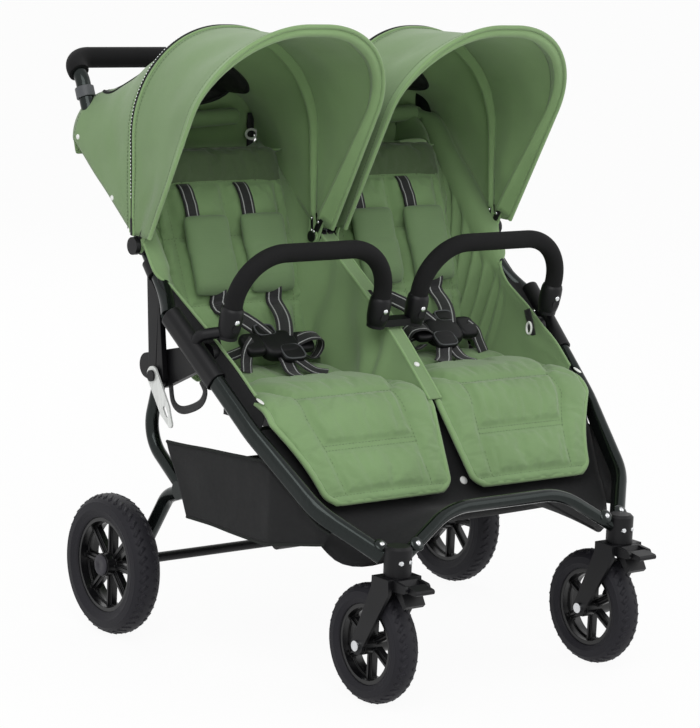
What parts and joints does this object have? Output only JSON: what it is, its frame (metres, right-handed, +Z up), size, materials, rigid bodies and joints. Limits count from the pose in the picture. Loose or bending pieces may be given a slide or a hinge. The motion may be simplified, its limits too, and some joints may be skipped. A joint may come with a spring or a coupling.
{
  "type": "double stroller",
  "caption": "Side by side double pushchair with twin padded seats, folding hoods, bumper bars, under-seat basket, swivelling front casters and a folding oval-tube frame.",
  "frame": {"origin": "centre of the bounding box in X and Y, on the floor under the wheels", "axes": "+Z up, front of the stroller towards -Y, handle towards +Y, +X to the right seen from the front"},
  "size_m": [0.76, 0.836, 0.9995],
  "materials": {
    "frame_tube": "dark green-grey anodised tube, satin",
    "black_plastic": "black moulded plastic, fine grain",
    "black_cloth": "black woven cloth",
    "green_cloth": "sage green woven cloth",
    "foam": "black soft foam",
    "tyre": "black rubber tread",
    "silver_metal": "bright steel",
    "bow": "grey flexible plastic"
  },
  "bodies": {
    "chassis": {"left_rail": "frame_tube", "right_rail": "frame_tube", "front_bar": "frame_tube", "caster_housings": "black_plastic", "hinge_sleeves": "black_plastic", "hinge_plates": "black_plastic", "seat_base": "black_plastic", "calf_panel": "black_cloth", "left_seat_pad": "green_cloth", "right_seat_pad": "green_cloth", "left_side_panel": "green_cloth", "right_side_panel": "green_cloth", "centre_panel": "green_cloth", "bumper_brackets": "black_plastic", "basket": "black_cloth", "left_lap_belt": "black_cloth", "right_lap_belt": "black_cloth", "frame_rivets": "silver_metal"},
    "handle_frame": {"handle_tube": "frame_tube", "handle_grip": "foam", "grip_collars": "bow", "back_frame": "frame_tube", "hinge_arms": "black_plastic", "hood_pivots": "black_plastic", "left_hood_rear": "green_cloth", "right_hood_rear": "green_cloth"},
    "left_back": {"left_back_pad": "green_cloth", "left_shoulder_straps": "green_cloth"},
    "right_back": {"right_back_pad": "green_cloth", "right_shoulder_straps": "green_cloth"},
    "left_hood_middle": {"left_middle_bow": "bow", "left_hood_front": "green_cloth"},
    "right_hood_middle": {"right_middle_bow": "bow", "right_hood_front": "green_cloth"},
    "left_hood_tip": {"left_front_bow": "bow"},
    "right_hood_tip": {"right_front_bow": "bow"},
    "rear_leg_frame": {"rear_legs": "frame_tube", "rear_axle": "frame_tube"},
    "left_rear_wheel": {"left_rear_tyre": "tyre", "left_rear_rim": "black_plastic"},
    "right_rear_wheel": {"right_rear_tyre": "tyre", "right_rear_rim": "black_plastic"},
    "left_caster": {"left_fork": "black_plastic", "left_axle_bolt": "silver_metal"},
    "right_caster": {"right_fork": "black_plastic", "right_axle_bolt": "silver_metal"},
    "left_front_wheel": {"left_front_tyre": "tyre", "left_front_rim": "black_plastic"},
    "right_front_wheel": {"right_front_tyre": "tyre", "right_front_rim": "black_plastic"},
    "left_lever": {"left_swivel_lever": "black_plastic"},
    "right_lever": {"right_swivel_lever": "black_plastic"},
    "left_bumper": {"left_bumper_bar": "foam"},
    "right_bumper": {"right_bumper_bar": "foam"},
    "pedal": {"brake_pedal": "black_plastic"},
    "left_latch": {"left_fold_latch": "silver_metal"},
    "right_latch": {"right_fold_latch": "silver_metal"}
  },
  "joints": [
    {"name": "handle_fold", "type": "hinge", "parent": "chassis", "child": "handle_frame", "pos_m": [0, 0.115, 0.44], "axis": [-1, 0, 0], "range_deg": [0, 105], "deforming": ["left_side_panel", "right_side_panel"]},
    {"name": "rear_leg_fold", "type": "hinge", "parent": "chassis", "child": "rear_leg_frame", "pos_m": [0, 0.16, 0.448], "axis": [-1, 0, 0], "range_deg": [0, 47.25], "deforming": ["basket"]},
    {"name": "left_recline", "type": "hinge", "parent": "handle_frame", "child": "left_back", "pos_m": [0, 0.115, 0.44], "axis": [-1, 0, 0], "range_deg": [0, 25]},
    {"name": "left_hood_fold", "type": "hinge", "parent": "handle_frame", "child": "left_hood_middle", "pos_m": [0, 0.156, 0.64], "axis": [-1, 0, 0], "range_deg": [0, 30], "deforming": ["left_hood_rear"]},
    {"name": "left_hood_tip_fold", "type": "hinge", "parent": "left_hood_middle", "child": "left_hood_tip", "pos_m": [0, 0.156, 0.64], "axis": [-1, 0, 0], "range_deg": [0, 24], "deforming": ["left_hood_front"]},
    {"name": "left_rear_spin", "type": "hinge", "parent": "rear_leg_frame", "child": "left_rear_wheel", "pos_m": [-0.355, 0.216, 0.115], "axis": [1, 0, 0], "continuous": true},
    {"name": "left_swivel", "type": "hinge", "parent": "chassis", "child": "left_caster", "pos_m": [-0.223, -0.35, 0.23], "axis": [0, 0, 1], "continuous": true},
    {"name": "left_front_spin", "type": "hinge", "parent": "left_caster", "child": "left_front_wheel", "pos_m": [-0.223, -0.3, 0.0925], "axis": [1, 0, 0], "continuous": true},
    {"name": "left_swivel_lock", "type": "hinge", "parent": "left_caster", "child": "left_lever", "pos_m": [-0.223, -0.394, 0.198], "axis": [1, 0, 0], "range_deg": [0, 25]},
    {"name": "left_bumper_pull", "type": "slide", "parent": "chassis", "child": "left_bumper", "axis": [0, -0.2425, 0.9701], "range_m": [0, 0.06]},
    {"name": "left_latch_turn", "type": "hinge", "parent": "chassis", "child": "left_latch", "pos_m": [0, 0.115, 0.44], "axis": [-1, 0, 0], "range_deg": [0, 40]},
    {"name": "right_recline", "type": "hinge", "parent": "handle_frame", "child": "right_back", "pos_m": [0, 0.115, 0.44], "axis": [-1, 0, 0], "range_deg": [0, 25]},
    {"name": "right_hood_fold", "type": "hinge", "parent": "handle_frame", "child": "right_hood_middle", "pos_m": [0, 0.156, 0.64], "axis": [-1, 0, 0], "range_deg": [0, 30], "deforming": ["right_hood_rear"]},
    {"name": "right_hood_tip_fold", "type": "hinge", "parent": "right_hood_middle", "child": "right_hood_tip", "pos_m": [0, 0.156, 0.64], "axis": [-1, 0, 0], "range_deg": [0, 24], "deforming": ["right_hood_front"]},
    {"name": "right_rear_spin", "type": "hinge", "parent": "rear_leg_frame", "child": "right_rear_wheel", "pos_m": [0.355, 0.216, 0.115], "axis": [1, 0, 0], "continuous": true},
    {"name": "right_swivel", "type": "hinge", "parent": "chassis", "child": "right_caster", "pos_m": [0.223, -0.35, 0.23], "axis": [0, 0, 1], "continuous": true},
    {"name": "right_front_spin", "type": "hinge", "parent": "right_caster", "child": "right_front_wheel", "pos_m": [0.223, -0.3, 0.0925], "axis": [1, 0, 0], "continuous": true},
    {"name": "right_swivel_lock", "type": "hinge", "parent": "right_caster", "child": "right_lever", "pos_m": [0.223, -0.394, 0.198], "axis": [1, 0, 0], "range_deg": [0, 25]},
    {"name": "right_bumper_pull", "type": "slide", "parent": "chassis", "child": "right_bumper", "axis": [0, -0.2425, 0.9701], "range_m": [0, 0.06]},
    {"name": "right_latch_turn", "type": "hinge", "parent": "chassis", "child": "right_latch", "pos_m": [0, 0.115, 0.44], "axis": [-1, 0, 0], "range_deg": [0, 40]},
    {"name": "brake_press", "type": "hinge", "parent": "rear_leg_frame", "child": "pedal", "pos_m": [0, 0.216, 0.115], "axis": [-1, 0, 0], "range_deg": [0, 22]}
  ],
  "couplings": [
    {"joint": "rear_leg_fold", "follows": "handle_fold", "ratio": 0.45},
    {"joint": "left_hood_tip_fold", "follows": "left_hood_fold", "ratio": 0.8},
    {"joint": "right_hood_tip_fold", "follows": "right_hood_fold", "ratio": 0.8}
  ]
}
